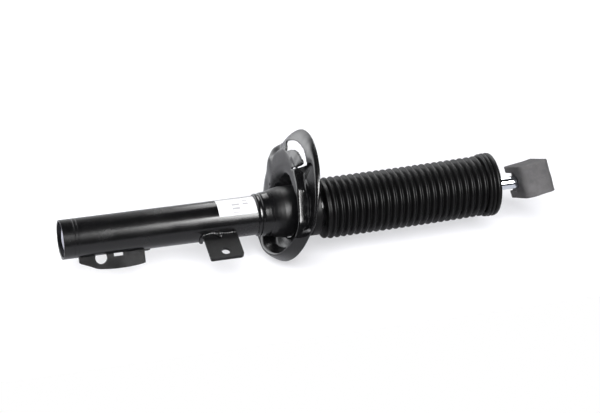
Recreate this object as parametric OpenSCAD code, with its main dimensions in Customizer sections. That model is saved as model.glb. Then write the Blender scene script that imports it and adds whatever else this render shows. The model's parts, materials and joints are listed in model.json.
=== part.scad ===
// Front suspension strut with plain clamped lower end, helical spring seat and bellows.
// Frame: origin at the centre of the tube's lower end, +X along the strut to the threaded
// end, +Z up as the strut lies, -Y to the viewer's side. Units are millimetres.

/* [Tube] */
// Outside radius of the reservoir tube that the knuckle clamps
tube_r = 27.5; // [24:0.5:31]
// Wall of the reservoir tube
tube_wall = 2.5; // [1.6:0.1:4]
// Length of the reservoir tube
tube_len = 400; // [390:1:405]
// Distance from the lower end to the locating groove
groove_x = 15.2; // [12:0.1:18]
// Outside radius of the pressure tube
inner_r = 17.6; // [16:0.1:21]
// Wall of the pressure tube
inner_wall = 1.6; // [1:0.1:2.5]

/* [Rod] */
// Radius of the polished piston rod
rod_r = 9; // [7:0.5:11]
// Radius of the threaded end
stud_r = 6; // [5:0.25:6.5]
// Radial running clearance of the rod in its guide, seal and stop
run_gap = 0.05; // [0.02:0.01:0.09]
// Free travel of the rod into the tube
travel = 160; // [120:1:160]

/* [Bracket] */
// Thickness of the link bracket and of the locating tab
plate_t = 4.8; // [3:0.1:6]
// Width of the link bracket along the strut
bracket_w = 47.6; // [40:0.2:55]
// Distance of the bracket's outer end from the strut axis
bracket_reach = 74; // [68:0.5:80]
// Radius of the stabiliser link hole
link_hole_r = 6.15; // [5:0.05:7.2]
// Distance of the link hole from the strut axis
link_hole_out = 61.6; // [58:0.2:64]
// Direction of the bracket below the horizontal, in degrees
bracket_angle = 21; // [10:1:35]
// Distance of the bracket's middle from the lower end
bracket_x = 218; // [200:1:230]

/* [Tab] */
// Direction of the locating tab below the horizontal, in degrees
tab_angle = 66; // [60:1:80]
// Distance of the tab's furthest edge from the strut axis
tab_reach = 48.6; // [43:0.2:52]
// Radius of the locating hole
tab_hole_r = 8.4; // [6:0.1:9]

/* [Spring seat] */
// Radius of the seat's rim
seat_rim_r = 94; // [88:0.5:100]
// Lean of the seat away from square to the strut, in degrees
seat_tilt = 16.3; // [12:0.1:20]
// Sheet thickness of the seat
seat_sheet = 3.2; // [2:0.1:4]
// Radius of the collar that carries the seat
collar_r = 36; // [34.5:0.5:37]

/* [Bellows] */
// Radius over the bellows' ribs
boot_r = 43.2; // [41:0.2:45]
// Depth of the folds between the ribs
fold_depth = 5.2; // [3:0.1:6.5]
// Distance from rib to rib
rib_pitch = 9.75; // [9.4:0.05:9.8]
// Wall of the bellows
boot_wall = 1.4; // [1:0.1:2]

/* [Protector] */
// Height of the foam protector
block_h = 47; // [40:1:52]
// Length of the foam protector
block_l = 44; // [42:1:50]

/* [Hidden] */
$fn = 96;
tube_in = tube_r - tube_wall;
inner_in = inner_r - inner_wall;
rod_hole = rod_r + run_gap;
rib_count = 24;
boot_start = tube_len - 29;
boot_first = boot_start + 7.5;
boot_end = boot_first + rib_count * rib_pitch - 0.5;
boot_sag = 2.8;
ring_end = boot_end + 20;
rod_end = ring_end + 44;
stud_end = rod_end + 32;
rod_foot = tube_len - 57;
seat_x = tube_len - 69;
lip_r = tube_r + 0.06;
stop_head_r = 25.4;
black = [0.07, 0.07, 0.075];
steel = [0.62, 0.63, 0.65];
rubber = [0.10, 0.10, 0.10];

// Turned shape about the strut axis: points are [radius, x]
module turned(pts) {
  rotate([90, 0, 90]) rotate_extrude() polygon(pts);
}
// Ring from x0 to x1 between two radii
module ring(r0, r1, x0, x1) {
  turned([[r0, x0], [r1, x0], [r1, x1], [r0, x1]]);
}
module rod_x(r, x0, x1) {
  translate([x0, 0, 0]) rotate([0, 90, 0]) cylinder(r = r, h = x1 - x0);
}

module outer_tube() {
  color(black) turned([[tube_in, 1], [tube_in + 1, 0], [tube_r, 0], [tube_r, groove_x],
    [tube_r - 0.4, groove_x + 0.5], [tube_r - 0.4, groove_x + 1.3], [tube_r, groove_x + 1.8],
    [tube_r, groove_x + 5.2], [tube_r - 0.3, groove_x + 5.6], [tube_r - 0.3, groove_x + 6.2],
    [tube_r, groove_x + 6.6], [tube_r, tube_len - 2], [tube_r - 1.2, tube_len],
    [tube_in - 3, tube_len], [tube_in - 3, tube_len - 1.2], [tube_in, tube_len - 1.6]]);
}
module base_cup() {
  color(steel) turned([[0, 2], [4, 2.2], [8, 2.7], [14, 4], [18, 5.2], [22, 6.1],
    [tube_in, 6.5], [tube_in, 9.8], [21, 9.2], [17, 8.2], [13, 7.1], [8, 6.1], [4, 5.6],
    [0, 5.4]]);
}
module pressure_tube() {
  color(steel) ring(inner_in, inner_r, 20, tube_len - 16);
}
module base_valve_body() {
  color(steel) difference() {
    turned([[2.6, 16], [9, 16], [11, 13], [inner_r - 1, 13], [inner_r - 1, 20],
      [inner_in, 20], [inner_in, 25], [2.6, 25]]);
    for (a = [0:60:300]) rotate([a, 0, 0]) translate([0, 7.2, 0]) rod_x(1.2, 10, 30);
  }
}
module base_valve_discs() {
  color(steel) {
    ring(2.6, 10.5, 25, 25.5);
    ring(2.6, 9, 25.5, 26);
    ring(2.6, 6, 26, 26.8);
  }
}
module base_valve_rivet() {
  color(steel) {
    rod_x(2.6, 15, 27.5);
    rod_x(4.6, 27.5, 29.5);
    rod_x(4.4, 13.6, 16);
  }
}
module rod_guide() {
  x = tube_len - 24;
  color(steel) difference() {
    turned([[rod_r + 2, x + 10], [inner_in, x + 10], [inner_in, x + 4], [inner_in - 2, x + 3],
      [rod_r + 4, x + 3], [rod_r + 4, x], [rod_r + 2, x]]);
    for (a = [0:120:240]) rotate([a, 0, 0]) translate([0, 13.6, 0]) rod_x(0.8, x - 2, x + 12);
  }
  color(steel) turned([[rod_r + 2, x + 10], [tube_in, x + 10], [tube_in, x + 17],
    [rod_r + 6, x + 17], [rod_r + 6, x + 14], [rod_r + 2, x + 14]]);
}
module guide_bushing() {
  color([0.45, 0.36, 0.22]) ring(rod_hole, rod_r + 2, tube_len - 23.5, tube_len - 10.5);
}
module rod_seal() {
  x = tube_len - 9;
  color(rubber) turned([[rod_hole, x], [rod_r + 5.6, x], [rod_r + 5.6, x + 2],
    [tube_in - 0.5, x + 2], [tube_in - 0.5, x + 5], [rod_r + 3, x + 5], [rod_r + 2.2, x + 6.4],
    [rod_hole, x + 6.4], [rod_hole, x + 4.6], [rod_r + 1.4, x + 4], [rod_r + 1.4, x + 3],
    [rod_hole, x + 2.4]]);
}
module seal_washer() {
  color(steel) ring(rod_r + 4, tube_in - 0.2, tube_len - 4, tube_len - 1.6);
}
module bump_cap() {
  x = tube_len;
  color(steel) difference() {
    turned([[rod_r + 3, x], [tube_r, x], [tube_r, x - 11], [tube_r + 2, x - 11],
      [tube_r + 2, x], [tube_r + 0.6, x + 1.5], [rod_r + 3, x + 1.5]]);
    for (a = [45:90:315]) rotate([a, 0, 0]) translate([0, 20, 0]) rod_x(2, x - 2, x + 4);
  }
}
module seat_collar() {
  x = seat_x;
  color(black) turned([[tube_r, x - 56.6], [28.6, x - 56.2], [29.6, x - 55.2], [30.1, x - 53.2],
    [29.8, x - 51.4], [29.1, x - 50.2], [29.3, x - 49.2], [30.4, x - 48], [30.9, x - 46],
    [31.2, x - 42], [31.6, x - 38], [32.6, x - 34], [33.9, x - 30], [35, x - 25],
    [collar_r, x - 19], [collar_r, x + 14], [collar_r - 3, x + 14], [collar_r - 3, x - 18],
    [32.2, x - 25], [30.2, x - 33], [28.6, x - 42], [tube_r, x - 44]]);
}

// Spring seat: a pressed sheet drawn as a grid between the hub and the rim. Each row is an
// angle and its profile: [distance from the hub, or minus distance from the rim; height].
seat_centre = [seat_x, 8.7, 20.2];
seat_yaw = 2.4;
seat_hub_r = 35.2;
seat_steps = 84;
seat_sub = 2;
seat_axis = [8.7, -21];
seat_rows = [
  [-90, [0,3],[6,2],[12,1],[17,-1],[20,-7],[23,-14],[25,-17.5],[-9,-18.8],[-6.5,-17],[-4,-12],
    [-1.5,-5],[-0.001,1]],
  [-45, [0,4],[6,3],[12,2],[18,0.5],[23,-4],[26,-10],[28.5,-14.5],[-7.5,-16],[-5.5,-14.5],
    [-3.5,-10.5],[-1.5,-4],[-0.001,3]],
  [-20, [0,4],[6,3],[13,2],[20,1],[27,-3],[32,-8],[36,-13],[-8,-15],[-6,-14],[-4,-10.5],[-2,-5],
    [-0.001,3]],
  [5, [0,6],[10,4],[18,-1],[24,-9],[28,-14],[31,-14.5],[35,-12],[-17,-13],[-10,-12],[-6,-7],
    [-3,-4],[-0.001,1]],
  [30, [0,6],[8,5],[14,-5],[17.5,-13],[21,-14],[25,-8],[30,-6.5],[-29,-9],[-19,-9],[-13,-4.5],
    [-5,-4.5],[-0.001,0]],
  [58, [0,6],[6,7],[12,-4],[16,-12],[19,-14],[23,-8],[29,-4],[-33,-4.5],[-22,-5],[-12,-4.5],
    [-5,-4.5],[-0.001,0]],
  [68, [0,6],[5,8],[12,-5],[15.5,-12],[19,-14],[24,-8],[31,-5],[-33,-6.5],[-23,-9],[-12,-6],
    [-5,-4.5],[-0.001,0]],
  [80, [0,6],[5,9],[12,-5],[15.5,-12],[19,-14],[25,-11],[32,-13],[-33,-12.5],[-23,-9],[-12,-7],
    [-5,-4.5],[-0.001,0]],
  [125, [0,5],[5,9],[12,-3],[16,-11],[20,-14],[25,-14.5],[32,-15],[-30,-14],[-22,-8],[-13,-6],
    [-5,-4],[-0.001,0]],
  [145, [0,4],[5,8],[12,-2],[16.5,-11],[21,-14],[26,-15],[33,-15.5],[-26,-14.5],[-20,-7],[-14,-1],
    [-6,-3.5],[-0.001,0]],
  [163, [0,4],[5,7],[12,-2],[16.5,-10],[21,-13.5],[26,-15],[31,-15.5],[-24,-15.5],[-16,-14],
    [-9,-8],[-3,-5],[-0.001,-1]],
  [180, [0,4],[5,6],[11,-2],[15.5,-9],[19,-12],[23,-13],[27,-13],[-26,-13],[-17,-12.5],[-9,-9],
    [-3,-4],[-0.001,0]],
  [205, [0,4],[4,5],[8,1],[12,-6],[15,-10],[19,-11.5],[23,-12],[-24,-12],[-17,-11],[-10,-9],
    [-4,-4],[-0.001,0]],
  [240, [0,3],[5,3],[9,2],[12,0],[15,-8],[18,-15],[20,-17.5],[-20,-18.5],[-14,-19],[-8,-17],
    [-3,-10],[-0.001,-2]],
];
last_k = len(seat_rows[0]) - 2;
seat_m = last_k * seat_sub + 1;
function in_pt(a) = seat_axis + seat_hub_r * [cos(a), sin(a) / cos(seat_tilt)];
function rim_pt(a) = seat_rim_r * [cos(a), sin(a)];
function seat_len(a) = norm(rim_pt(a) - in_pt(a));
function knot(row, k) = let (q = row[k + 1], l = seat_len(row[0]))
  [q[0] < 0 ? 1 + q[0] / l : q[0] / l, q[1]];
function row_at(i) = i < len(seat_rows) ? seat_rows[i] : concat([seat_rows[0][0] + 360],
  [for (k = [1:len(seat_rows[0]) - 1]) seat_rows[0][k]]);
function span(a, i = 0) = a < row_at(i + 1)[0] ? i : span(a, i + 1);
function blend(a, k) = let (i = span(a), p = row_at(i), q = row_at(i + 1),
  f = (a - p[0]) / (q[0] - p[0]), g = f * f * (3 - 2 * f))
  knot(p, k) * (1 - g) + knot(q, k) * g;
function spline(a, b, c, d, f) = 0.5 * (2 * b + (c - a) * f
  + (2 * a - 5 * b + 4 * c - d) * f * f + (3 * b - a - 3 * c + d) * f * f * f);
function prof(a) = let (p = [for (k = [0:last_k]) blend(a, k)])
  [for (j = [0:seat_m - 1]) let (k = min(floor(j / seat_sub), last_k - 1), f = j / seat_sub - k)
    spline(p[max(k - 1, 0)], p[k], p[k + 1], p[min(k + 2, last_k)], f)];
function lift(a, q, up) = let (uv = in_pt(a) + (rim_pt(a) - in_pt(a)) * q[0])
  [q[1] + up, -uv[0], uv[1]];
module seat_shell() {
  n = seat_steps;
  m = seat_m;
  rows = [for (i = [0:n - 1]) let (a = -90 + 360 * i / n) [a, prof(a)]];
  low = [for (r = rows) for (q = r[1]) lift(r[0], q, 0)];
  top = [for (r = rows) for (q = r[1]) lift(r[0], q, seat_sheet)];
  o = n * m;
  e = m - 1;
  under = [for (i = [0:n - 1]) for (j = [0:m - 2]) let (k = (i + 1) % n)
    each [[i * m + j, k * m + j + 1, i * m + j + 1], [i * m + j, k * m + j, k * m + j + 1]]];
  over = [for (f = under) [o + f[0], o + f[2], o + f[1]]];
  inner = [for (i = [0:n - 1]) let (k = (i + 1) % n)
    each [[i * m, o + i * m, o + k * m], [i * m, o + k * m, k * m]]];
  outer = [for (i = [0:n - 1]) let (k = (i + 1) % n)
    each [[i * m + e, o + k * m + e, o + i * m + e], [i * m + e, k * m + e, o + k * m + e]]];
  polyhedron(points = concat(low, top), faces = concat(under, over, inner, outer));
}
// Window in the seat: [across, up] in the seat's own plane
slot_pts = [[-34, 53.5], [-38, 56], [-40.6, 60], [-40.6, 65], [-38, 69.4], [-32, 73.4],
  [-24, 75.6], [-14, 76.4], [-4, 76], [6, 74.6], [15.4, 72.4], [22, 70.6], [27.9, 68.2],
  [33, 65], [35.4, 61.6], [34.6, 58], [31, 55.4], [24, 51.2], [8.1, 41.2], [3, 38.6],
  [0.6, 38.8], [-0.6, 40.2], [0.4, 41.6], [13.5, 49.6], [27.2, 58.2], [27.4, 60], [25, 62],
  [20, 64.4], [12, 66.2], [3, 66.6], [-4, 66], [-12.6, 64.2], [-20.7, 61], [-28, 57], [-32, 54]];
module seat_window() {
  rotate([0, 90, 0]) linear_extrude(90, center = true)
    polygon([for (p = slot_pts) [-p[1], -p[0]]]);
}
module spring_seat() {
  color(black) difference() {
    translate(seat_centre) rotate([0, seat_tilt, seat_yaw]) difference() {
      seat_shell();
      seat_window();
      translate([0, 73, 5]) rotate([0, 90, 0]) cylinder(r = 1.7, h = 60, center = true, $fn = 24);
    }
    rod_x(collar_r, seat_x - 50, seat_x + 50);
  }
}

// Flat plate that stands out from the axis at an angle below the horizontal
module flag(angle, t) {
  rotate([angle, 0, 0]) translate([0, 0, -t / 2]) linear_extrude(t) scale([1, -1]) children();
}
module link_bracket() {
  x0 = bracket_x - bracket_w / 2;
  x1 = bracket_x + bracket_w / 2;
  color(black) difference() {
    flag(bracket_angle, plate_t) difference() {
      union() {
        translate([x0, 20]) square([bracket_w, bracket_reach - 25.5]);
        translate([x0, 20]) square([bracket_w - 5.5, bracket_reach - 22.2]);
        translate([x0 + 2.2, 20]) square([bracket_w - 7.7, bracket_reach - 20]);
        translate([x0 + 2.2, bracket_reach - 2.2]) circle(2.2);
        translate([x1 - 5.5, bracket_reach - 5.5]) circle(5.5);
      }
      translate([bracket_x, link_hole_out]) circle(link_hole_r);
    }
    rod_x(tube_r, x0 - 5, x1 + 5);
  }
}
// Row of weld ripples along the strut: from x0, count of them, their pitch and radius
module ripples(x0, count, pitch, r) {
  for (i = [0:count - 1]) translate([x0 + i * pitch, 0, 0]) sphere(r = r + 0.25 * sin(i * 140));
}
module bracket_weld() {
  root_r = tube_r + 1.4;
  color([0.12, 0.12, 0.125]) difference() {
    rotate([bracket_angle, 0, 0]) {
      translate([0, -root_r, plate_t / 2 + 0.2]) ripples(bracket_x - 19.5, 11, 3.9, 3.2);
      for (z = [-2.4, 0, 2.4]) translate([bracket_x - bracket_w / 2 - 2, -tube_r, z]) sphere(r = 3);
    }
    rod_x(tube_r, bracket_x - 40, bracket_x + 40);
    flag(bracket_angle, plate_t) translate([bracket_x - bracket_w / 2, 0]) square([bracket_w, 80]);
  }
}
module locating_tab() {
  color(black) difference() {
    flag(tab_angle, plate_t) difference() {
      polygon([[22, 20], [22, 34.6], [24.4, 36.6], [34, tab_reach - 8.2], [41, tab_reach - 5],
        [44, tab_reach - 3.5], [47.4, tab_reach - 2.4], [51, tab_reach - 1.8],
        [56, tab_reach - 1.2], [63, tab_reach - 0.5], [70, tab_reach - 0.1], [77, tab_reach],
        [84, tab_reach - 0.1], [91, tab_reach - 0.3], [98, tab_reach - 0.8],
        [105.5, tab_reach - 1.6], [112.4, tab_reach - 2.8], [113.6, tab_reach - 3.6], [114, 20]]);
      translate([52.8, 31.4]) circle(tab_hole_r);
      translate([70.6, 24]) square([13.6, 7.6]);
    }
    rod_x(tube_r, 10, 130);
  }
}
module tab_weld() {
  color([0.12, 0.12, 0.125]) difference() {
    rotate([tab_angle, 0, 0]) {
      for (x = [29, 92]) translate([0, -tube_r - 1, -plate_t / 2]) ripples(x, 5, 3.6, 2.7);
      for (x = [115, 118, 121]) translate([x, -tube_r + 0.6, 0]) sphere(r = 2.7);
    }
    rod_x(tube_r, 10, 140);
    flag(tab_angle, plate_t) translate([22, 0]) square([92, 60]);
  }
}

// Bellows: it hangs a little low on the strut and leans up towards its far end
module boot_lean() {
  translate([boot_start, 0, -boot_sag]) rotate([0, -0.89, 0.35])
    translate([-boot_start, 0, 0]) children();
}
module boot_foot() {
  x = boot_start - 19;
  color(rubber) turned([[tube_r, x], [37.6, x], [38.6, x + 1], [38.6, x + 11], [37.4, x + 12],
    [tube_r, x + 12]]);
}
function rib(x, r, d) = [[r - d, x], [r - d * 0.7, x + 0.7], [r - d * 0.25, x + 1.4],
  [r - d * 0.05, x + 2.3], [r, x + 3.2], [r - d * 0.05, x + 4.1], [r - d * 0.25, x + 5],
  [r - d * 0.7, x + 5.7], [r - d, x + 6.4]];
function rib_in(x, r, d) = [[r - d, x + 5.4], [r - d * 0.4, x + 4.4], [r - d * 0.1, x + 3.2],
  [r - d * 0.4, x + 2], [r - d, x + 1]];
module bellows() {
  ri = boot_r - boot_wall;
  foot_r = boot_r - fold_depth - boot_wall;
  outer = [for (i = [0:rib_count - 1]) each rib(boot_first + i * rib_pitch, boot_r, fold_depth)];
  hollow = [for (i = [rib_count - 1:-1:0])
    each rib_in(boot_first + i * rib_pitch, ri, fold_depth)];
  color(rubber) {
    ring(lip_r, foot_r + 1, boot_start, boot_start + 3);
    boot_lean() turned(concat([[foot_r - 2.6, boot_start], [boot_r - 3, boot_start],
      [boot_r - 1.2, boot_start + 0.8], [boot_r - 1.2, boot_start + 2.2],
      [boot_r - 2.8, boot_start + 3], [boot_r - 2.8, boot_start + 6.4]], outer,
      [[boot_r - fold_depth, boot_end], [foot_r, boot_end]], hollow,
      [[foot_r, boot_start + 3], [foot_r - 2.6, boot_start + 3]]));
  }
}
module boot_ring() {
  r = boot_r + 2.2;
  color(rubber) difference() {
    boot_lean() turned([[boot_r - fold_depth - boot_wall, boot_end],
      [boot_r - fold_depth, boot_end], [r - 1.4, boot_end + 1], [r - 0.4, boot_end + 2.6],
      [r - 1.4, boot_end + 4.2], [r - 3.4, boot_end + 4.8], [r - 3.4, boot_end + 5.6],
      [r - 0.8, boot_end + 6.4], [r, boot_end + 8], [r - 0.8, boot_end + 9.8],
      [r - 3.2, boot_end + 10.4], [r - 3.2, boot_end + 11.2], [r - 0.8, boot_end + 12],
      [r, boot_end + 14], [r - 0.4, boot_end + 16.4], [r - 2.4, ring_end - 2],
      [r - 6, ring_end - 0.4], [33, ring_end], [20, ring_end], [20, ring_end - 3],
      [boot_r - 8, ring_end - 3], [boot_r - 8, boot_end + 3]]);
    rod_x(stop_head_r, boot_end, ring_end + 4);
  }
}
module bump_stop() {
  x = ring_end - 66;
  color([0.16, 0.16, 0.15]) turned([[rod_hole, x], [12, x - 3], [16.5, x - 3], [18.6, x],
    [18.6, x + 5], [16, x + 9], [16, x + 11], [20.6, x + 16], [22, x + 22], [20.6, x + 27],
    [18.6, x + 30], [18.6, x + 32], [22.6, x + 36], [24, x + 42], [24, x + 52], [20, x + 56],
    [20, x + 60], [stop_head_r, x + 64], [stop_head_r, x + 68.6], [rod_hole, x + 68.6]]);
}
module piston_rod() {
  x = rod_foot - 21;
  color([0.8, 0.81, 0.83]) turned([[0, x], [5.4, x], [6, x + 0.6], [6, rod_foot],
    [rod_r, rod_foot], [rod_r, rod_end - 1], [rod_r - 1, rod_end], [stud_r, rod_end],
    [stud_r, stud_end - 1], [stud_r - 1, stud_end], [0, stud_end]]);
}
module piston() {
  x = rod_foot - 12;
  color(steel) difference() {
    turned([[6, x], [inner_in - 0.6, x], [inner_in - 0.6, x + 2], [inner_in - 1.4, x + 2],
      [inner_in - 1.4, x + 10], [inner_in - 0.6, x + 10], [inner_in - 0.6, x + 11], [6, x + 11]]);
    for (a = [0:60:300]) rotate([a, 0, 0]) translate([0, 10.4, 0]) rod_x(1.3, x - 3, x + 15);
  }
}
module piston_band() {
  color([0.2, 0.18, 0.16]) ring(inner_in - 1.4, inner_in - run_gap, rod_foot - 10, rod_foot - 2);
}
module compression_discs() {
  color(steel) {
    ring(rod_r - 3, 13.2, rod_foot - 1, rod_foot - 0.6);
    ring(rod_r - 3, 11, rod_foot - 0.6, rod_foot);
  }
}
module rebound_discs() {
  x = rod_foot - 12;
  color(steel) {
    ring(6, 13.4, x - 0.5, x);
    ring(6, 11.6, x - 1, x - 0.5);
    ring(6, 9.4, x - 2, x - 1);
  }
}
module piston_nut() {
  x = rod_foot - 19.5;
  color(steel) difference() {
    translate([x, 0, 0]) rotate([0, 90, 0]) cylinder(r = 10, h = 5.5, $fn = 6);
    rod_x(6, x - 4, x + 9);
  }
}
module rebound_stop() {
  color(steel) ring(rod_r, 12.6, rod_foot + 14, rod_foot + 18);
}
module rebound_bumper() {
  x = rod_foot + 18;
  color(rubber) turned([[rod_r, x], [12.6, x], [13, x + 2], [13, x + 10], [11.6, x + 14],
    [rod_r, x + 14]]);
}

// Foam protector: a block pushed on a little skewed, with a bite open to the far side
module thread_protector() {
  deep = 33;
  nose = 12;
  bevel = 5.5;
  color([0.36, 0.36, 0.37]) rotate([-22.4, 0, 0]) difference() {
    translate([rod_end + 14, 0, 2.6]) rotate([0, -9.6, 0]) translate([0, 0, -block_h / 2])
      linear_extrude(block_h) polygon(concat([[-block_l / 2, deep], [-block_l / 2, -deep + nose]],
        [for (a = [15:15:75]) [-block_l / 2 + nose - nose * cos(a), -deep + nose - nose * sin(a)]],
        [[-block_l / 2 + nose, -deep], [block_l / 2 - bevel, -deep], [block_l / 2, bevel - deep],
        [block_l / 2, deep]]));
    rod_x(rod_r + 0.5, rod_end - 36, rod_end + 1);
    rod_x(stud_r + 0.3, rod_end - 36, stud_end + 2);
    intersection() {
      rod_x(13, rod_end - 36, rod_end - 1.5);
      translate([rod_end - 46, -1.5, -20]) cube([60, 60, 40]);
    }
    translate([rod_end - 46, 0, -13]) cube([44.5, 60, 26]);
  }
}

outer_tube();
base_cup();
pressure_tube();
base_valve_body();
base_valve_discs();
base_valve_rivet();
rod_guide();
guide_bushing();
rod_seal();
seal_washer();
bump_cap();
seat_collar();
spring_seat();
link_bracket();
bracket_weld();
locating_tab();
tab_weld();
boot_foot();
bellows();
boot_ring();
bump_stop();
piston_rod();
piston();
piston_band();
compression_discs();
rebound_discs();
piston_nut();
rebound_stop();
rebound_bumper();
thread_protector();
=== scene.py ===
"""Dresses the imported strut: camera, studio, procedural finishes and the finer pieces."""

import json
import math
import random

import bmesh
import bpy
import numpy as np
from mathutils import Matrix, Vector


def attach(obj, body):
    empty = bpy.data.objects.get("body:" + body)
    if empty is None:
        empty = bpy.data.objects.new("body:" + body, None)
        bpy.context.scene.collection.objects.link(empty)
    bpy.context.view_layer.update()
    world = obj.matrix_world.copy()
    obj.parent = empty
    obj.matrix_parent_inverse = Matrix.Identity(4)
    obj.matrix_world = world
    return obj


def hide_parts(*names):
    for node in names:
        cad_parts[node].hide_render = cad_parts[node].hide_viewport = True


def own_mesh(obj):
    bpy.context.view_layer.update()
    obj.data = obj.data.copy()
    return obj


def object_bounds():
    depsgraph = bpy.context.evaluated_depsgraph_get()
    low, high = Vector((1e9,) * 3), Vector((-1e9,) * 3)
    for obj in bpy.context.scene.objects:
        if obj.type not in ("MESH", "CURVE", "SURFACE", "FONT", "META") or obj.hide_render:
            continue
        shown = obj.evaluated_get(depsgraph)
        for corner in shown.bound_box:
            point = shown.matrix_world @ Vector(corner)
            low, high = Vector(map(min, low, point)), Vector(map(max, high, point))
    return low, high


MM = 0.001

# Camera: where its centre ray crosses the strut, how far back it stands and its angles
CAM_AIM = (0.3419, 0.0, 0.0046)
CAM_DISTANCE = 3.0913
CAM_AZIMUTH = -16.97
CAM_ELEVATION = 24.577
CAM_LENS = 132.0
CAM_SENSOR = 36.0

# Studio: front softbox, overhead softbox behind, table and what the gloss sees around
FRONT_BOX = {"middle": (1.00, -1.15, 0.78), "size": (0.9, 0.80), "radiance": 28.0}
BACK_BOX = {"middle": (1.00, 0.80, 0.90), "size": (1.1, 0.78), "radiance": 6.0}
KEY = {"azimuth": -12.0, "elevation": 36.0, "strength": 6.6, "softness": 50.0}
TABLE_FRONT = -0.24
TABLE_BACK = 2.6
TABLE_SIDE = 2.2
TABLE_MIDDLE = 0.35
TABLE_GAP = 0.0002

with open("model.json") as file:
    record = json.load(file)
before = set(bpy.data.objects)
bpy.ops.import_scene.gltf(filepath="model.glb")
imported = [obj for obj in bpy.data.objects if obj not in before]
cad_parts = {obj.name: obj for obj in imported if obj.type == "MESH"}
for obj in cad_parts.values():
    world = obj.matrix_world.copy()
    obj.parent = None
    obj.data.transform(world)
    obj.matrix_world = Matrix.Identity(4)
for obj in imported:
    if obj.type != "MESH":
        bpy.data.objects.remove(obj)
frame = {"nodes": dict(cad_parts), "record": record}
nodes = frame["nodes"]
cad_low, cad_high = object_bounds()
scene = bpy.context.scene
floor_z = cad_low.z - TABLE_GAP


# ---------------------------------------------------------------- node helpers
def new_material(name):
    mat = bpy.data.materials.new(name)
    mat.use_nodes = True
    return mat, mat.node_tree, mat.node_tree.nodes["Principled BSDF"]


def add(tree, kind, **values):
    node = tree.nodes.new(kind)
    for key, value in values.items():
        if key.startswith("in_"):
            node.inputs[key[3:].replace("_", " ")].default_value = value
        else:
            setattr(node, key, value)
    return node


def link(tree, a, b):
    tree.links.new(a, b)


def object_coords(tree, scale=(1, 1, 1)):
    """Coordinates in the row frame, in metres, stretched by scale."""
    coords = add(tree, "ShaderNodeTexCoord")
    mapping = add(tree, "ShaderNodeMapping")
    mapping.inputs["Scale"].default_value = scale
    link(tree, coords.outputs["Object"], mapping.inputs["Vector"])
    return mapping.outputs["Vector"]


def noise(tree, scale, detail=3.0, roughness=0.5, vector=None):
    node = add(tree, "ShaderNodeTexNoise")
    node.inputs["Scale"].default_value = scale
    node.inputs["Detail"].default_value = detail
    node.inputs["Roughness"].default_value = roughness
    link(tree, vector or object_coords(tree), node.inputs["Vector"])
    return node.outputs["Fac"]


def spread(tree, value, low, high, from_low=0.0, from_high=1.0):
    node = add(tree, "ShaderNodeMapRange")
    node.inputs["From Min"].default_value = from_low
    node.inputs["From Max"].default_value = from_high
    node.inputs["To Min"].default_value = low
    node.inputs["To Max"].default_value = high
    link(tree, value, node.inputs["Value"])
    return node.outputs["Result"]


def blend_colour(tree, factor, a, b):
    node = add(tree, "ShaderNodeMix", data_type="RGBA")
    for socket in node.inputs:
        if socket.name == "A" and socket.type == "RGBA":
            socket.default_value = (*a, 1)
        if socket.name == "B" and socket.type == "RGBA":
            socket.default_value = (*b, 1)
    link(tree, factor, node.inputs[0])
    return next(s for s in node.outputs if s.type == "RGBA")


def bump(tree, height, strength, distance):
    node = add(tree, "ShaderNodeBump")
    node.inputs["Strength"].default_value = strength
    node.inputs["Distance"].default_value = distance
    link(tree, height, node.inputs["Height"])
    return node.outputs["Normal"]


# ---------------------------------------------------------------- finishes
def black_paint(name="black_paint", rough=0.22, specular=0.5, dull=None):
    """Satin black dip paint: faint orange peel, slow change of gloss, a little dust."""
    mat, tree, shader = new_material(name)
    dust = noise(tree, 220, 6, 0.7)
    colour = blend_colour(tree, spread(tree, dust, 0, 1, 0.45, 0.9), (0.0020, 0.0020, 0.0023),
                          (0.0065, 0.0065, 0.0070))
    link(tree, colour, shader.inputs["Base Color"])
    slow = noise(tree, 24, 3, 0.55)
    gloss = spread(tree, slow, rough - 0.04, rough + 0.06, 0.3, 0.7)
    if dull:
        split = add(tree, "ShaderNodeSeparateXYZ")
        link(tree, object_coords(tree), split.inputs["Vector"])
        more = add(tree, "ShaderNodeMath", operation="ADD")
        link(tree, gloss, more.inputs[0])
        link(tree, spread(tree, split.outputs["X"], 0.0, 0.24, *dull), more.inputs[1])
        gloss = more.outputs[0]
    link(tree, gloss, shader.inputs["Roughness"])
    shader.inputs["Specular IOR Level"].default_value = specular
    peel = noise(tree, 620, 2, 0.5)
    link(tree, bump(tree, peel, 0.10, 0.0002), shader.inputs["Normal"])
    return mat


def rubber(name, colour, rough, grain=1400, strength=0.12, specular=0.4):
    mat, tree, shader = new_material(name)
    patch = noise(tree, 60, 5, 0.6)
    tint = blend_colour(tree, spread(tree, patch, 0, 1, 0.3, 0.75), [c * 0.7 for c in colour],
                        [c * 1.5 for c in colour])
    link(tree, tint, shader.inputs["Base Color"])
    link(tree, spread(tree, noise(tree, 180, 3), rough - 0.06, rough + 0.07, 0.3, 0.7),
         shader.inputs["Roughness"])
    shader.inputs["Specular IOR Level"].default_value = specular
    link(tree, bump(tree, noise(tree, grain, 3, 0.6), strength, 0.0003), shader.inputs["Normal"])
    return mat


def bare_metal(name, colour, rough, grain_axis_scale=(40, 900, 900)):
    mat, tree, shader = new_material(name)
    shader.inputs["Metallic"].default_value = 1.0
    brushed = noise(tree, 1.0, 4, 0.6, object_coords(tree, grain_axis_scale))
    tint = blend_colour(tree, brushed, [c * 0.82 for c in colour], colour)
    link(tree, tint, shader.inputs["Base Color"])
    link(tree, spread(tree, brushed, rough - 0.05, rough + 0.08), shader.inputs["Roughness"])
    link(tree, bump(tree, brushed, 0.06, 0.0001), shader.inputs["Normal"])
    return mat


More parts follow.
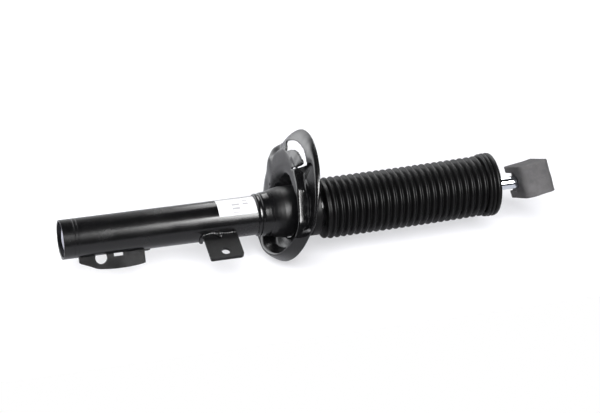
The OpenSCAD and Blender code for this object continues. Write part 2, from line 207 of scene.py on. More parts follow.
def foam(name, colour):
    """Open-cell foam: fine pits over soft patches of lighter and darker grey."""
    mat, tree, shader = new_material(name)
    cells = add(tree, "ShaderNodeTexVoronoi")
    cells.inputs["Scale"].default_value = 900
    link(tree, object_coords(tree), cells.inputs["Vector"])
    patch = noise(tree, 70, 5, 0.65)
    grain = noise(tree, 1500, 3, 0.7)
    mixed = add(tree, "ShaderNodeMath", operation="MULTIPLY_ADD")
    link(tree, grain, mixed.inputs[0])
    mixed.inputs[1].default_value = 0.5
    link(tree, patch, mixed.inputs[2])
    tint = blend_colour(tree, spread(tree, mixed.outputs[0], 0, 1, 0.5, 1.0),
                        [c * 0.72 for c in colour], [c * 1.25 for c in colour])
    link(tree, tint, shader.inputs["Base Color"])
    shader.inputs["Roughness"].default_value = 0.92
    shader.inputs["Specular IOR Level"].default_value = 0.25
    link(tree, bump(tree, cells.outputs["Distance"], 0.35, 0.0005), shader.inputs["Normal"])
    return mat


# Printed areas of the label: [middle, half width along it; middle, half height round the tube]
PRINT_AREAS = ((0.47, 0.10, 0.36, 0.28), (0.73, 0.07, 0.60, 0.17), (0.42, 0.34, 0.93, 0.012))
PRINT_ROWS = 5


def paper(name, colour):
    """Blank sticker stock with two faint blocks of plain bars, a thin line and no words."""
    mat, tree, shader = new_material(name)
    split = add(tree, "ShaderNodeSeparateXYZ")
    link(tree, add(tree, "ShaderNodeUVMap", uv_map="label").outputs["UV"], split.inputs["Vector"])
    total = None
    for u, half_u, v, half_v in PRINT_AREAS:
        parts = []
        for axis, middle, half in (("X", u, half_u), ("Y", v, half_v)):
            node = add(tree, "ShaderNodeMath", operation="COMPARE")
            link(tree, split.outputs[axis], node.inputs[0])
            node.inputs[1].default_value = middle
            node.inputs[2].default_value = half
            parts.append(node.outputs[0])
        row = add(tree, "ShaderNodeMath", operation="PINGPONG")
        link(tree, split.outputs["Y"], row.inputs[0])
        row.inputs[1].default_value = 0.5 / PRINT_ROWS
        parts.append(spread(tree, row.outputs[0], 0, 0.8, 0.20 / PRINT_ROWS, 0.30 / PRINT_ROWS))
        mask = parts[0]
        for part in parts[1:]:
            node = add(tree, "ShaderNodeMath", operation="MULTIPLY")
            link(tree, mask, node.inputs[0])
            link(tree, part, node.inputs[1])
            mask = node.outputs[0]
        if total is not None:
            node = add(tree, "ShaderNodeMath", operation="MAXIMUM")
            link(tree, total, node.inputs[0])
            link(tree, mask, node.inputs[1])
            mask = node.outputs[0]
        total = mask
    tint = blend_colour(tree, total, colour, [c * 0.40 for c in colour])
    link(tree, tint, shader.inputs["Base Color"])
    shader.inputs["Roughness"].default_value = 0.42
    return mat


FINISHES = {
    "black_paint": black_paint(),
    "weld_bead": black_paint("weld_bead", 0.14, 0.6),
    "pale_steel": bare_metal("pale_steel", (0.62, 0.62, 0.70), 0.42),
    "bare_steel": bare_metal("bare_steel", (0.56, 0.56, 0.58), 0.34),
    "bronze": bare_metal("bronze", (0.50, 0.36, 0.18), 0.36),
    "seal_rubber": rubber("seal_rubber", (0.006, 0.006, 0.006), 0.6),
    "boot_rubber": rubber("boot_rubber", (0.0024, 0.0024, 0.0025), 0.40, specular=0.16),
    "stop_foam": foam("stop_foam", (0.11, 0.105, 0.09)),
    "dark_band": rubber("dark_band", (0.05, 0.04, 0.03), 0.5),
    "chromed_rod": bare_metal("chromed_rod", (0.80, 0.84, 0.90), 0.10, (300, 60, 60)),
    "grey_foam": foam("grey_foam", (0.075, 0.073, 0.075)),
    "white_label": paper("white_label", (0.62, 0.62, 0.64)),
}


def dress(obj, finish):
    obj.data.materials.clear()
    obj.data.materials.append(FINISHES[finish])


def smooth(obj, angle=math.radians(32)):
    for polygon in obj.data.polygons:
        polygon.use_smooth = True
    obj.data.set_sharp_from_angle(angle=angle)


for entry in frame["record"]["subparts"]:
    dress(nodes[entry["node"]], entry["material_slot"])
nodes["link_bracket"].data.materials[0] = black_paint("plate_paint", 0.42, 0.3)
nodes["seat_collar"].data.materials[0] = black_paint("collar_paint", 0.20, dull=(0.290, 0.312))


# ---------------------------------------------------------------- finer pieces
def make_object(name, mesh, body, finish, angle=math.radians(40)):
    obj = bpy.data.objects.new(name, mesh)
    scene.collection.objects.link(obj)
    dress(obj, finish)
    smooth(obj, angle)
    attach(obj, body)
    return obj


# How far the soft bellows hangs below the axis at each X, and how it leans aside, in mm
SAG_AT = (371, 387, 432, 492, 537, 567, 598, 614, 640)
SAG = (-2.8, -2.65, -2.1, -1.6, -0.8, -0.1, 0.7, 1.1, 1.6)
LEAN = 0.0061


def lean(points):
    """Points in mm, moved off the axis as the soft bellows sags and leans along the strut."""
    x, y, z = points.T
    reach = np.sqrt(y * y + z * z)
    free = np.clip((reach - 30) / 6, 0, 1)
    sag = np.interp(x, SAG_AT, SAG)
    return np.stack([x, y + free * LEAN * (x - SAG_AT[0]), z + free * sag], 1)


def turned(name, profile, body, finish, steps=192, leaned=False, wobble=0.0, angle=40):
    """Closed [radius, x] profile in mm, turned about the strut's axis."""
    profile = np.array(profile, float)
    angles = np.linspace(0, 2 * math.pi, steps, endpoint=False)
    r = profile[:, 0][None, :] * (1 + wobble * np.sin(3 * angles + 0.7)[:, None])
    x = np.repeat(profile[:, 1][None, :], steps, 0)
    points = np.stack([x, r * np.cos(angles)[:, None], r * np.sin(angles)[:, None]], -1)
    points = points.reshape(-1, 3)
    if leaned:
        points = lean(points)
    n, m = steps, len(profile)
    i = np.arange(n)[:, None]
    j = np.arange(m)[None, :]
    a = i * m + j
    b = i * m + (j + 1) % m
    c = ((i + 1) % n) * m + (j + 1) % m
    d = ((i + 1) % n) * m + j
    faces = np.stack([a, b, c, d], -1).reshape(-1, 4)
    mesh = bpy.data.meshes.new(name)
    mesh.from_pydata((points * MM).tolist(), [], faces.tolist())
    fix_normals(mesh)
    return make_object(name, mesh, body, finish, math.radians(angle))


def fix_normals(mesh):
    work = bmesh.new()
    work.from_mesh(mesh)
    bmesh.ops.recalc_face_normals(work, faces=work.faces)
    work.to_mesh(mesh)
    work.free()


def arc(cx, cr, radius, start, end, count):
    """Points [radius, x] round a corner in the profile plane, angles in degrees from +X to +R."""
    out = []
    for k in range(count + 1):
        t = math.radians(start + (end - start) * k / count)
        out.append([cr + radius * math.sin(t), cx + radius * math.cos(t)])
    return out


BOOT_R, FOLD, PITCH, WALL, RIBS = 43.3, 5.2, 9.75, 1.4, 24
FIRST, BOOT_START, BOOT_END = 378.5, 371.0, 612.0


def rib_line(outward):
    """One wall of the bellows: narrow rounded ribs and rounded folds between them."""
    points = []
    crest = 2.0 if outward else 0.9
    valley = 1.1 if outward else 2.2
    top = BOOT_R - (0 if outward else WALL)
    bottom = BOOT_R - FOLD - (0 if outward else WALL)
    for k in range(RIBS):
        middle = FIRST + 3.2 + k * PITCH
        points += arc(middle, top - crest, crest, 165, 15, 8)
        if k < RIBS - 1:
            points += arc(middle + PITCH / 2, bottom + valley, valley, 200, 340, 6)
    return points


def make_bellows():
    outer = [[27.6, BOOT_START], [39.4, BOOT_START], [41.0, BOOT_START + 0.2],
             [41.9, BOOT_START + 0.9], [42.0, BOOT_START + 1.6], [41.9, BOOT_START + 2.3],
             [40.9, BOOT_START + 2.9], [40.5, BOOT_START + 3.4], [40.5, BOOT_START + 6.2],
             [40.0, BOOT_START + 7.2], [38.6, BOOT_START + 7.9]]
    end = [[BOOT_R - FOLD, BOOT_END - 1.5], [BOOT_R - FOLD, BOOT_END],
           [BOOT_R - FOLD - WALL, BOOT_END], [BOOT_R - FOLD - WALL, BOOT_END - 1.5]]
    start = [[BOOT_R - FOLD - WALL, BOOT_START + 3], [27.6, BOOT_START + 3]]
    profile = outer + rib_line(True) + end + rib_line(False)[::-1] + start
    obj = turned("bellows_form", profile, "tube", "boot_rubber", 176, True, 0.0015, 50)
    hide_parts("bellows")
    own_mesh(obj)


def make_boot_ring():
    r, e = BOOT_R + 2.2, BOOT_END
    outer = [[r - 7.0, e], [r - 3.2, e + 0.1], [r - 1.4, e + 1.0]]
    outer += arc(e + 2.6, r - 1.6, 1.2, 130, 20, 6)
    outer += [[r - 3.2, e + 4.6], [r - 3.4, e + 5.2], [r - 3.0, e + 5.8]]
    outer += arc(e + 8.0, r - 1.8, 1.8, 150, 30, 8)
    outer += [[r - 2.9, e + 10.3], [r - 3.2, e + 10.8], [r - 2.8, e + 11.4]]
    outer += arc(e + 14.0, r - 2.2, 2.2, 150, 60, 7)
    outer += [[r - 0.5, e + 16.6], [r - 1.4, e + 17.8], [r - 3.2, e + 18.9], [r - 6, e + 19.6],
              [34, e + 19.9], [33, e + 20], [25.44, e + 20], [25.44, e + 17], [34.6, e + 17],
              [34.6, e + 3], [r - 8.6, e]]
    obj = turned("boot_ring_form", outer, "boot_top", "boot_rubber", 176, True, 0.0, 50)
    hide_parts("boot_ring")


def settle(obj, voxel, passes, factor=0.5):
    """Voxel remesh and smoothing, applied."""
    remesh = obj.modifiers.new("remesh", "REMESH")
    remesh.mode = "VOXEL"
    remesh.voxel_size = voxel
    soft = obj.modifiers.new("soft", "SMOOTH")
    soft.iterations = passes
    soft.factor = factor
    bake(obj)


def bake(obj):
    """The object's modifiers become its mesh."""
    bpy.context.view_layer.update()
    graph = bpy.context.evaluated_depsgraph_get()
    mesh = bpy.data.meshes.new_from_object(obj.evaluated_get(graph))
    obj.modifiers.clear()
    obj.data = mesh


def make_block():
    source = nodes["thread_protector"]
    mesh = source.data.copy()
    mesh.transform(source.matrix_world)
    obj = bpy.data.objects.new("foam_block", mesh)
    scene.collection.objects.link(obj)
    settle(obj, 0.8 * MM, 5)
    rng = random.Random(7)
    waves = [(rng.uniform(60, 260), rng.uniform(60, 260), rng.uniform(60, 260),
              rng.uniform(0, 6.28), rng.uniform(0.05, 0.16)) for _ in range(14)]
    points = np.array([v.co for v in obj.data.vertices])
    normals = np.array([v.normal for v in obj.data.vertices])
    shift = sum(w[4] * np.sin(points @ np.array(w[:3]) + w[3]) for w in waves)
    points = points + normals * (shift * 0.5 + 0.2)[:, None] * MM
    obj.data.vertices.foreach_set("co", points.reshape(-1))
    dress(obj, "grey_foam")
    smooth(obj, math.radians(60))
    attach(obj, "protector")
    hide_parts("thread_protector")


def bead(name, path, radius, body, finish, wave=3.9, depth=0.16, squat=1.0, seed=1):
    """Weld bead along a path in mm: a lumpy closed tube with a ripple every wave mm."""
    rng = random.Random(seed)
    path = np.array(path, float)
    seg = np.linalg.norm(np.diff(path, axis=0), axis=1)
    along = np.concatenate([[0], np.cumsum(seg)])
    total = along[-1]
    count = int(total / 0.45)
    stations = np.linspace(0, total, count)
    centre = np.stack([np.interp(stations, along, path[:, k]) for k in range(3)], 1)
    tangent = np.gradient(centre, axis=0)
    tangent /= np.linalg.norm(tangent, axis=1)[:, None]
    out = centre.copy()
    out[:, 0] = 0
    out /= np.linalg.norm(out, axis=1)[:, None]
    side = np.cross(tangent, out)
    side /= np.linalg.norm(side, axis=1)[:, None]
    out = np.cross(side, tangent)
    lumps = [(rng.uniform(0.12, 0.5), rng.uniform(0, 6.28), rng.uniform(0.02, 0.06))
             for _ in range(5)]
    ring = 22
    points = []
    for i, s in enumerate(stations):
        end = min(s, total - s)
        cap = math.sqrt(max(0.0, 1 - (1 - min(1.0, end / radius)) ** 2)) if end < radius else 1.0
        phase = (s / wave) % 1.0
        r = radius * max(cap, 0.05) * (1 - depth + depth * abs(math.sin(math.pi * phase)) ** 0.6)
        r *= 1 + sum(a * math.sin(f * s + p) for f, p, a in lumps)
        for k in range(ring):
            t = 2 * math.pi * k / ring
            points.append(centre[i] + out[i] * r * squat * math.sin(t) + side[i] * r * math.cos(t))
    faces = [(i * ring + k, i * ring + (k + 1) % ring, (i + 1) * ring + (k + 1) % ring,
              (i + 1) * ring + k) for i in range(count - 1) for k in range(ring)]
    faces.append(tuple(range(ring))[::-1])
    faces.append(tuple((count - 1) * ring + k for k in range(ring)))
    mesh = bpy.data.meshes.new(name)
    mesh.from_pydata([tuple(p * MM) for p in points], [], faces)
    fix_normals(mesh)
    return make_object(name, mesh, body, finish, math.radians(60))


def on_tube(x, degrees, r):
    """Point at X, radius r and an angle from the viewer's side towards the top."""
    t = math.radians(degrees)
    return [x, -r * math.cos(t), r * math.sin(t)]


def make_label():
    """Blank sticker wrapped on the tube, with a few printed bars and no words."""
    low, high, r = 219.0, 273.8, 27.62
    a0, a1 = 33.5, 101.0
    rows, cols = 40, 30
    points, faces = [], []
    for i in range(rows + 1):
        for j in range(cols + 1):
            u, v = i / rows, j / cols
            a = a0 + (a1 - a0) * v - 1.5 * u
            lift = 0.10 * math.exp(-((1 - v) / 0.03) ** 2) + 0.12 * math.exp(-(u / 0.02) ** 2)
            points.append([c * MM for c in on_tube(low + (high - low) * u, a, r + lift)])
    for i in range(rows):
        for j in range(cols):
            k = i * (cols + 1) + j
            faces.append((k, k + 1, k + cols + 2, k + cols + 1))
    mesh = bpy.data.meshes.new("label")
    mesh.from_pydata(points, [], faces)
    fix_normals(mesh)
    layer = mesh.uv_layers.new(name="label")
    for polygon in mesh.polygons:
        for loop in polygon.loop_indices:
            index = mesh.loops[loop].vertex_index
            layer.data[loop].uv = ((index // (cols + 1)) / rows, (index % (cols + 1)) / cols)
    obj = bpy.data.objects.new("label", mesh)
    scene.collection.objects.link(obj)
    dress(obj, "white_label")
    smooth(obj, math.radians(60))
    thick = obj.modifiers.new("sheet", "SOLIDIFY")
    thick.thickness = 0.12 * MM
    thick.offset = 0
    bake(obj)
    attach(obj, "tube")


def on_flag(x, out, up, degrees):
    """Point beside a flange: X, how far out it is from the axis and how far over its middle."""
    t = math.radians(degrees)
    return [x, -out * math.cos(t) + up * math.sin(t), out * math.sin(t) + up * math.cos(t)]


BRACKET_ANGLE = -21.0
TAB_ANGLE = -66.0


def make_welds():
    main = ((195.5, 29.6, 2.7), (199, 28.5, 3.1), (203.5, 28, 3.4), (208.5, 28.4, 3.4),
            (213, 30.6, 3.2), (216.2, 33.8, 2.9), (218.6, 37.6, 2.3))
    line = [on_flag(x, out, up + 0.5, BRACKET_ANGLE) for x, out, up in main]
    one = bead("bracket_weld_form", line, 3.3, "tube", "weld_bead", 3.9, 0.2, 0.9, 3)
    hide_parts("bracket_weld")
    root = ((212, 28, 2.6), (220, 28.6, 2.7), (227, 30, 2.8), (233, 29.4, 2.8), (239.5, 29, 3))
    line = [on_flag(x, out, up, BRACKET_ANGLE) for x, out, up in root]
    bead("bracket_weld_root", line, 2.0, "tube", "weld_bead", 3.4, 0.25, 0.9, 4)
    line = [on_flag(x, 29.8, 3.2, BRACKET_ANGLE) for x in (235.6, 238, 240.6)]
    bead("bracket_weld_stop", line, 2.7, "tube", "weld_bead", 9.0, 0.05, 1.0, 6)
    tail = [on_tube(195.4 - 3.6 * math.sin(0.06 * (-12 - t)), t, 28.2)
            for t in np.linspace(-12, -62, 24)]
    bead("bracket_weld_tail", tail, 2.7, "tube", "weld_bead", 4.4, 0.3, 0.9, 5)
    tilt = math.radians(TAB_ANGLE)
    across = np.array([0, math.sin(tilt), math.cos(tilt)])
    for number, x in enumerate((27.5, 90.5)):
        line = [np.array(on_tube(q, TAB_ANGLE, 28.6)) - across * 2.4
                for q in np.linspace(x, x + 18, 16)]
        piece = bead("tab_weld_form_%d" % number, line, 2.9, "tube", "weld_bead", 3.6, 0.2, 0.9, 9)
    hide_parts("tab_weld")
    end = [on_tube(x, TAB_ANGLE, 27.8 - 0.05 * (x - 114)) for x in np.linspace(113.5, 122.5, 10)]
    bead("tab_weld_end", end, 2.8, "tube", "weld_bead", 3.2, 0.2, 0.9, 11)


# Spring seat: [angle, [distance from the hub, or minus distance from the rim; height], ...]
SEAT_CENTRE, SEAT_TILT, SEAT_YAW = (331.0, 8.7, 20.2), 16.3, 2.4
SEAT_RIM_R, SEAT_HUB_R, SEAT_AXIS, SEAT_SHEET, COLLAR_R = 94.0, 35.2, (8.7, -21.0), 3.2, 36.0
SEAT_VOXEL = 0.75 * MM
DRAIN_HOLE_AT, DRAIN_HOLE_R = (-49.5, -6.4), 1.9
SEAT_ROWS = (
    (-90, (0, 3), (6, 2), (12, 1), (17, -1), (20, -7), (23, -14), (25, -17.5), (-9, -18.8),
     (-7.7, -18.3), (-6.5, -17), (-4, -12), (-1.5, -5), (-0.001, 1)),
    (-45, (0, 4), (6, 3), (12, 2), (18, 0.5), (23, -4), (26, -10), (28.5, -14.5), (-7.5, -16),
     (-6.5, -15.6), (-5.5, -14.5), (-3.5, -10.5), (-1.5, -4), (-0.001, 3)),
    (-20, (0, 4), (8, 3), (16, 2), (24, -1), (31, -8), (36.5, -13.5), (-7.5, -14.5), (-5.5, -13),
     (-4.7, -11.4), (-4, -9.5), (-2.8, -6), (-1.5, -2), (-0.001, 3)),
    (-4, (0, 5), (8, 4), (13, 1), (18, -4), (22, -7.5), (25.4, -8.3), (26.6, -4), (27.5, 1.2),
     (29.5, 4.2), (-14, 4), (-8, 3.5), (-4, 2.5), (-0.001, 2)),
    (8, (0, 6), (6, 5), (10, 1), (14, -5), (17.5, -8.5), (21.4, -8.8), (22.5, -3.5), (23.3, 2.6),
     (25.4, 6.2), (-13, 5), (-8, 2.5), (-4, -0.5), (-0.001, 1)),
    (20, (0, 6), (6, 5), (10, -1), (13.5, -7), (16.5, -10), (19.8, -10), (20.9, -4.5), (21.7, 1.6),
     (24, 5.6), (-12, 4), (-7, -1), (-2.4, -3), (-0.001, 1)),
    (32, (0, 6), (6, 5.5), (10, -2), (14, -9), (17.2, -12), (20.4, -11.6), (21.5, -6), (22.4, 0.3),
     (25, 4.2), (-14, 2.5), (-8, -3.5), (-2.4, -5), (-0.001, 1)),
    (44, (0, 6), (5, 6), (9.5, -5), (14, -13), (18.5, -14.2), (23.6, -13.5), (24.8, -9),
     (25.9, -3.8), (28.5, 0.6), (-14, 0), (-8.5, -5.5), (-2.4, -5.5), (-0.001, 1)),
    (56, (0, 6), (4, 6.5), (8.5, -7), (12.5, -13.5), (18, -14.5), (24.4, -13.8), (25.6, -9),
     (26.8, -4), (29.5, -2.4), (-17, -2), (-11, -6.5), (-2.8, -6), (-0.001, 0.5)),
    (68, (0, 6), (4, 7), (8, -6.5), (11.5, -13.5), (18, -14.5), (25.2, -14), (26.6, -9), (28, -4),
     (30.5, -2.6), (-38, -3), (-24, -9), (-6, -7), (-0.001, 0)),
    (80, (0, 6), (4, 8), (8, -6), (11.5, -13), (18, -14.5), (26.5, -14.3), (29, -13.5),
     (31.5, -12.5), (31.6, -12.9), (-43.5, -13), (-23, -9), (-8, -6), (-0.001, 0)),
    (91, (0, 5.7), (4.5, 8.3), (9.5, -5), (13, -12), (18, -14.5), (24, -14.5), (29, -14.4),
     (34, -14), (36.8, -14), (-38, -13.5), (-23, -9), (-9, -5.5), (-0.001, 0.5)),
    (125, (0, 5), (5, 9), (12, -3), (16, -11), (20, -14), (25, -14.5), (32, -15), (-30, -14),
     (-25.4, -11.6), (-22, -9), (-13, -6), (-5, -1), (-0.001, 4)),
    (147, (0, 4), (5, 8), (12, -2), (16.5, -11), (21, -14), (26, -15), (33, -15.5), (-26, -14.5),
     (-22.2, -12.1), (-20, -9), (-14, -3), (-6, -1), (-0.001, 3)),
    (158, (0, 4), (5, 7), (12, -2), (16.5, -10), (21, -13.5), (26, -15), (31, -15.5), (-24, -16),
     (-19.1, -16), (-16, -15.5), (-9, -12), (-3, -9), (-0.001, -5)),
    (180, (0, 4), (5, 6), (11, -2), (15.5, -9), (19, -12), (23, -13), (27, -12.5), (-26, -12),
     (-20.9, -11.4), (-17, -10.5), (-9, -7.5), (-3, -3), (-0.001, 1)),
    (205, (0, 4), (4, 5), (8, 1), (12, -6), (15, -10), (19, -11.5), (23, -10.5), (-24, -9.5),
     (-20, -8.8), (-17, -8), (-10, -6.5), (-4, -3), (-0.001, 0)),
    (240, (0, 3), (5, 3), (9, 2), (12, 0), (15, -8), (18, -15), (20, -17.5), (-20, -18.5),
     (-16.9, -18.9), (-14, -19), (-8, -17), (-3, -10), (-0.001, -2)),
)
SLOT = ((-28, 54.6), (-31, 56.8), (-36, 57.6), (-43, 57.6), (-48.5, 58.2), (-51.8, 59.6),
        (-50.5, 61.2), (-43.6, 64.6), (-36.7, 67.6), (-26.9, 71.6), (-13.2, 74.8), (2.1, 75.6),
        (14.2, 74.4), (24.4, 71.8), (30, 69.6), (33.6, 67.2), (35.6, 64.4), (35.6, 61.5),
        (33.5, 58.7), (28.4, 55.5), (23.5, 51.6), (19.2, 47.6), (10.7, 41.9), (7.6, 41),
        (7, 42.2), (17, 48), (20.6, 51.8), (23.8, 56), (25, 58.2), (24.2, 60), (21, 61.6),
        (13.8, 63.8), (2.4, 65.2), (-8, 64.2), (-16.9, 60.8), (-22.8, 56.8))


def hub_point(a):
    return np.array([SEAT_AXIS[0] + SEAT_HUB_R * math.cos(a),
                     SEAT_AXIS[1] + SEAT_HUB_R * math.sin(a) / math.cos(math.radians(SEAT_TILT))])


def rim_point(a):
    return SEAT_RIM_R * np.array([math.cos(a), math.sin(a)])


def seat_grid(turns, parts):
    """Rows of [across, up, height] in the seat's own plane, round from the bottom."""
    keys = [row[0] for row in SEAT_ROWS] + [SEAT_ROWS[0][0] + 360]
    table = []
    for row in SEAT_ROWS + (SEAT_ROWS[0],):
        a = math.radians(row[0])
        reach = np.linalg.norm(rim_point(a) - hub_point(a))
        table.append([(1 + d / reach if d < 0 else d / reach, h) for d, h in row[1:]])
    table = np.array(table)
    slopes = np.zeros_like(table)
    for i, key in enumerate(keys[1:-1], 1):
        if -10 < key < 75:
            slopes[i] = (table[i + 1] - table[i - 1]) / (keys[i + 1] - keys[i - 1])
    grid = []
    for angle in np.linspace(-90, 270, turns, endpoint=False):
        i = int(np.searchsorted(keys, angle, side="right")) - 1
        span = keys[i + 1] - keys[i]
        f = (angle - keys[i]) / span
        g = f * f * (3 - 2 * f)
        knots = table[i] * (1 - g) + table[i + 1] * g
        knots = knots + span * f * (1 - f) * ((1 - f) * slopes[i] - f * slopes[i + 1])
        line = []
        for k in range(len(knots) - 1):
            p = [knots[max(k - 1, 0)], knots[k], knots[k + 1], knots[min(k + 2, len(knots) - 1)]]
            for j in range(parts):
                t = j / parts
                line.append(0.5 * (2 * p[1] + (p[2] - p[0]) * t
                            + (2 * p[0] - 5 * p[1] + 4 * p[2] - p[3]) * t * t
                            + (3 * p[1] - p[0] - 3 * p[2] + p[3]) * t ** 3))
        line = np.array(line + [knots[-1]])
        a = math.radians(angle)
        flat = hub_point(a) + (rim_point(a) - hub_point(a)) * line[:, :1]
        grid.append(np.column_stack([flat, line[:, 1]]))
    return np.array(grid)


def prism(name, outline, low, high):
    """Closed prism over an outline of [across, up] points, from height low to high."""
    n = len(outline)
    points = [(low, -u, v) for u, v in outline] + [(high, -u, v) for u, v in outline]
    faces = [tuple(range(n)), tuple(range(2 * n - 1, n - 1, -1))]
    faces += [(i, i + n, (i + 1) % n + n, (i + 1) % n) for i in range(n)]
    mesh = bpy.data.meshes.new(name)
    mesh.from_pydata([tuple(c * MM for c in p) for p in points], [], faces)
    fix_normals(mesh)
    return bpy.data.objects.new(name, mesh)


def cut(obj, tool):
    scene.collection.objects.link(tool)
    step = obj.modifiers.new("cut", "BOOLEAN")
    step.operation = "DIFFERENCE"
    step.solver = "EXACT"
    step.object = tool
    bake(obj)
    bpy.data.objects.remove(tool)


def make_seat():
    turns, parts = 300, 5
    grid = seat_grid(turns, parts)
    m = grid.shape[1]
    low = np.stack([grid[..., 2], -grid[..., 0], grid[..., 1]], -1).reshape(-1, 3)
    wall = low.reshape(turns, m, 3)
    normal = np.cross(np.roll(wall, -1, 0) - np.roll(wall, 1, 0), np.gradient(wall, axis=1))
    normal *= np.sign(normal[..., :1]) / np.linalg.norm(normal, axis=2)[..., None]
    high = low + SEAT_SHEET * normal.reshape(-1, 3)
    o = turns * m
    faces = []
    for i in range(turns):
        k = (i + 1) % turns
        for j in range(m - 1):
            faces.append((i * m + j, i * m + j + 1, k * m + j + 1, k * m + j))
            faces.append((o + i * m + j, o + k * m + j, o + k * m + j + 1, o + i * m + j + 1))
        for e in (0, m - 1):
            faces.append((i * m + e, k * m + e, o + k * m + e, o + i * m + e))
    mesh = bpy.data.meshes.new("seat")
    mesh.from_pydata((np.concatenate([low, high]) * MM).tolist(), [], faces)
    fix_normals(mesh)
    obj = bpy.data.objects.new("seat_form", mesh)
    scene.collection.objects.link(obj)
    settle(obj, SEAT_VOXEL, 1)
    cut(obj, prism("window", SLOT, -45, 45))
    hole = [(DRAIN_HOLE_R * math.cos(t) + DRAIN_HOLE_AT[0],
             DRAIN_HOLE_R * math.sin(t) + DRAIN_HOLE_AT[1]) for t in np.linspace(0, 6.2, 20)]
    cut(obj, prism("hole", hole, -30, 30))
    turn = (Matrix.Translation(Vector(SEAT_CENTRE) * MM)
            @ Matrix.Rotation(math.radians(SEAT_YAW), 4, "Z")
            @ Matrix.Rotation(math.radians(SEAT_TILT), 4, "Y"))
    obj.data.transform(turn)
    ring = [(COLLAR_R * math.cos(t), COLLAR_R * math.sin(t)) for t in np.linspace(0, 6.25, 160)]
    cut(obj, prism("collar", ring, 280, 380))
    settle(obj, SEAT_VOXEL, 7)
    dress(obj, "black_paint")
    smooth(obj, math.radians(50))
    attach(obj, "tube")
    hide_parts("spring_seat")


make_seat()
make_bellows()
make_boot_ring()
make_block()
make_welds()
make_label()


# ---------------------------------------------------------------- camera and studio
def make_camera():
    a, e = math.radians(CAM_AZIMUTH), math.radians(CAM_ELEVATION)
    back = Vector((math.sin(a) * math.cos(e), -math.cos(a) * math.cos(e), math.sin(e)))
    data = bpy.data.cameras.new("camera")
    data.lens = CAM_LENS
    data.sensor_width = CAM_SENSOR
    data.sensor_fit = "HORIZONTAL"
    data.clip_start, data.clip_end = 0.05, 60
    camera = bpy.data.objects.new("camera", data)
    camera.location = Vector(CAM_AIM) + back * CAM_DISTANCE
    camera.rotation_euler = (-back).to_track_quat("-Z", "Y").to_euler()
    scene.collection.objects.link(camera)
    scene.camera = camera


def key_light(azimuth, elevation, strength, softness):
    """Even soft key over table and strut, left out of the gloss."""
    data = bpy.data.lights.new("key", "SUN")
    data.energy = strength
    data.angle = math.radians(softness)
    light = bpy.data.objects.new("key", data)
    a, e = math.radians(azimuth), math.radians(elevation)
    back = Vector((math.sin(a) * math.cos(e), -math.cos(a) * math.cos(e), math.sin(e)))
    light.rotation_euler = back.to_track_quat("Z", "Y").to_euler()
    light.visible_glossy = False
    scene.collection.objects.link(light)


def softbox(name, middle, size, radiance, aim=(0.3, 0, 0)):
    """Rectangular softbox seen in the gloss only: its power gives the face that radiance."""
    data = bpy.data.lights.new(name, "AREA")
    data.shape = "RECTANGLE"
    data.size, data.size_y = size
    data.energy = radiance * math.pi * size[0] * size[1]
    light = bpy.data.objects.new(name, data)
    light.location = middle
    light.rotation_euler = (Vector(aim) - Vector(middle)).to_track_quat("-Z", "Y").to_euler()
    light.visible_camera = False
    light.visible_diffuse = False
    scene.collection.objects.link(light)


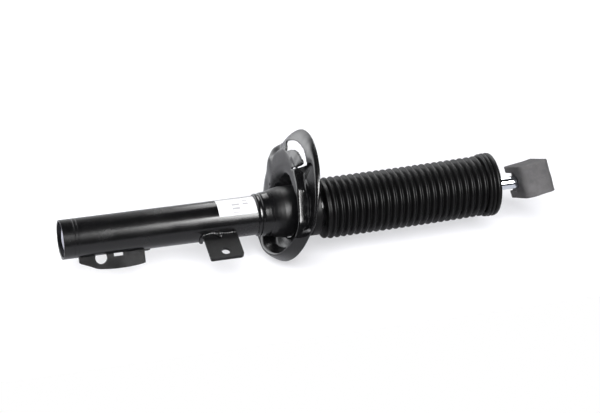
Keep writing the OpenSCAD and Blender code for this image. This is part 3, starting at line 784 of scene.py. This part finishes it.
def make_world():
    """White to the camera. Gloss and light see a white backdrop behind that fades with height."""
    world = bpy.data.worlds.new("world")
    world.use_nodes = True
    scene.world = world
    tree = world.node_tree
    tree.nodes.clear()
    out = add(tree, "ShaderNodeOutputWorld")
    path = add(tree, "ShaderNodeLightPath")
    coords = add(tree, "ShaderNodeTexCoord")
    split = add(tree, "ShaderNodeSeparateXYZ")
    link(tree, coords.outputs["Generated"], split.inputs["Vector"])
    height = spread(tree, split.outputs["Z"], 1.0, 0.0, 0.35, 0.85)
    behind = spread(tree, split.outputs["Y"], 0.0, 1.0, 0.0, 0.25)
    left = spread(tree, split.outputs["X"], 4.0, 0.9, -0.55, 0.0)
    a = add(tree, "ShaderNodeMath", operation="MULTIPLY")
    b = add(tree, "ShaderNodeMath", operation="MULTIPLY")
    link(tree, height, a.inputs[0])
    link(tree, behind, a.inputs[1])
    link(tree, a.outputs[0], b.inputs[0])
    link(tree, left, b.inputs[1])
    level = add(tree, "ShaderNodeMath", operation="ADD")
    link(tree, b.outputs[0], level.inputs[0])
    level.inputs[1].default_value = 0.03
    around = add(tree, "ShaderNodeBackground", in_Color=(0.97, 0.98, 1.0, 1))
    link(tree, level.outputs[0], around.inputs["Strength"])
    white = add(tree, "ShaderNodeBackground", in_Color=(1, 1, 1, 1), in_Strength=1.0)
    mix = add(tree, "ShaderNodeMixShader")
    link(tree, path.outputs["Is Camera Ray"], mix.inputs[0])
    link(tree, around.outputs[0], mix.inputs[1])
    link(tree, white.outputs[0], mix.inputs[2])
    link(tree, mix.outputs[0], out.inputs["Surface"])


def make_table():
    """Pale table: lit, with a glow for the camera that falls off along the strut; the stronger
    glow at the left end is painted light over the strut's shadow.
    """
    mesh = bpy.data.meshes.new("table")
    x0, x1 = TABLE_MIDDLE - TABLE_SIDE, TABLE_MIDDLE + TABLE_SIDE
    mesh.from_pydata([(x0, TABLE_FRONT, floor_z), (x1, TABLE_FRONT, floor_z),
                      (x1, TABLE_BACK, floor_z), (x0, TABLE_BACK, floor_z)], [], [(0, 1, 2, 3)])
    table = bpy.data.objects.new("table", mesh)
    scene.collection.objects.link(table)
    mat = bpy.data.materials.new("table")
    mat.use_nodes = True
    tree = mat.node_tree
    tree.nodes.clear()
    out = add(tree, "ShaderNodeOutputMaterial")
    path = add(tree, "ShaderNodeLightPath")
    lit = add(tree, "ShaderNodeBsdfDiffuse", in_Color=(0.50, 0.50, 0.525, 1))
    glow = add(tree, "ShaderNodeEmission", in_Color=(1, 1, 1, 1))
    both = add(tree, "ShaderNodeAddShader")
    link(tree, lit.outputs[0], both.inputs[0])
    link(tree, glow.outputs[0], both.inputs[1])
    painted_glow_level = add(tree, "ShaderNodeMath", operation="MULTIPLY")
    split = add(tree, "ShaderNodeSeparateXYZ")
    link(tree, object_coords(tree), split.inputs["Vector"])
    link(tree, path.outputs["Is Camera Ray"], painted_glow_level.inputs[0])
    # Painted light: the camera glow is strongest up to X = 0.05 m and fades by X = 0.32 m, lifting
    # the shadow under the tube's left part to white.
    link(tree, spread(tree, split.outputs["X"], 0.58, 0.36, 0.05, 0.32), painted_glow_level.inputs[1])
    link(tree, painted_glow_level.outputs[0], glow.inputs["Strength"])
    link(tree, both.outputs[0], out.inputs["Surface"])
    mesh.materials.append(mat)


make_camera()
make_world()
make_table()
softbox("front_box", **FRONT_BOX)
softbox("back_box", **BACK_BOX, aim=(1.0, 0, 0))
key_light(**KEY)
scene.view_settings.view_transform = "Standard"
